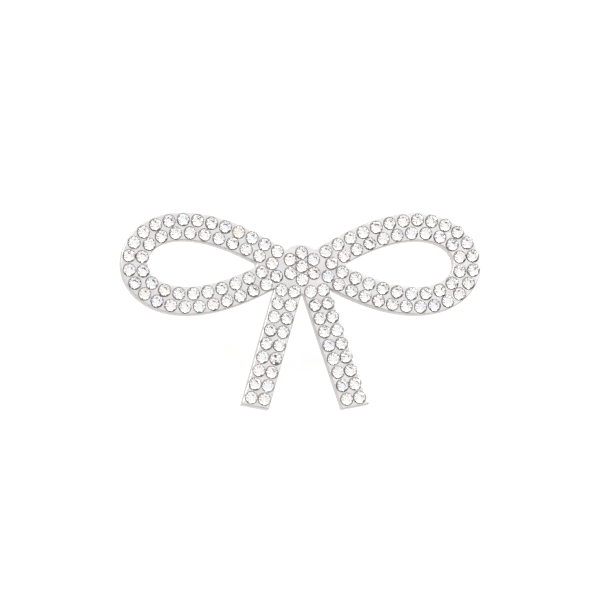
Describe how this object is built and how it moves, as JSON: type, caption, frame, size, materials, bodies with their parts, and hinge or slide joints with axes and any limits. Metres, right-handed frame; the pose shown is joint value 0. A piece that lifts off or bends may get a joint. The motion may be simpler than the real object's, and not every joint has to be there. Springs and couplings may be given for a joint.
{
  "type": "bow brooch",
  "caption": "Flat ribbon-bow brooch: a plated cast plate paved with round crystal stones, with a hinged pin and a turning safety catch on the back.",
  "frame": {"origin": "middle of the outline's box, at the level of the lowest point of the catch, lying on its back", "axes": "+X along the bow towards the catch side, +Y towards the top of the bow, +Z out of the paved face"},
  "size_m": [0.0604, 0.0328, 0.0065],
  "materials": {
    "plate": "satin",
    "stones": "polished",
    "finding": "satin",
    "lock": "polished",
    "pin": "polished",
    "rivet": "satin"
  },
  "bodies": {
    "plate": {"bow_body": "plate", "knot_centre_stone": "stones", "knot_ring_stones": "stones", "knot_side_stones": "stones", "left_loop_outer_stones_upper": "stones", "left_loop_outer_stones_end": "stones", "left_loop_outer_stones_lower": "stones", "left_loop_inner_stones_upper": "stones", "left_loop_inner_stones_end": "stones", "left_loop_inner_stones_lower": "stones", "right_loop_outer_stones_upper": "stones", "right_loop_outer_stones_end": "stones", "right_loop_outer_stones_lower": "stones", "right_loop_inner_stones_upper": "stones", "right_loop_inner_stones_end": "stones", "right_loop_inner_stones_lower": "stones", "left_tail_outer_stones_upper": "stones", "left_tail_outer_stones_lower": "stones", "left_tail_inner_stones_upper": "stones", "left_tail_inner_stones_lower": "stones", "right_tail_outer_stones_upper": "stones", "right_tail_outer_stones_lower": "stones", "right_tail_inner_stones_upper": "stones", "right_tail_inner_stones_lower": "stones", "pin_bar": "finding", "catch_shell": "finding", "hinge_rivet": "rivet"},
    "pin": {"pin_stem": "pin"},
    "lock": {"catch_lock": "lock"}
  },
  "joints": [
    {"name": "pin_hinge", "type": "hinge", "parent": "plate", "child": "pin", "pos_m": [-0.0055, 0.00827, 0.00141], "axis": [0, 1, 0], "range_deg": [0, 100]},
    {"name": "lock_turn", "type": "hinge", "parent": "plate", "child": "lock", "pos_m": [0.0048, 0.00827, 0.00141], "axis": [-1, 0, 0], "range_deg": [0, 150]}
  ]
}
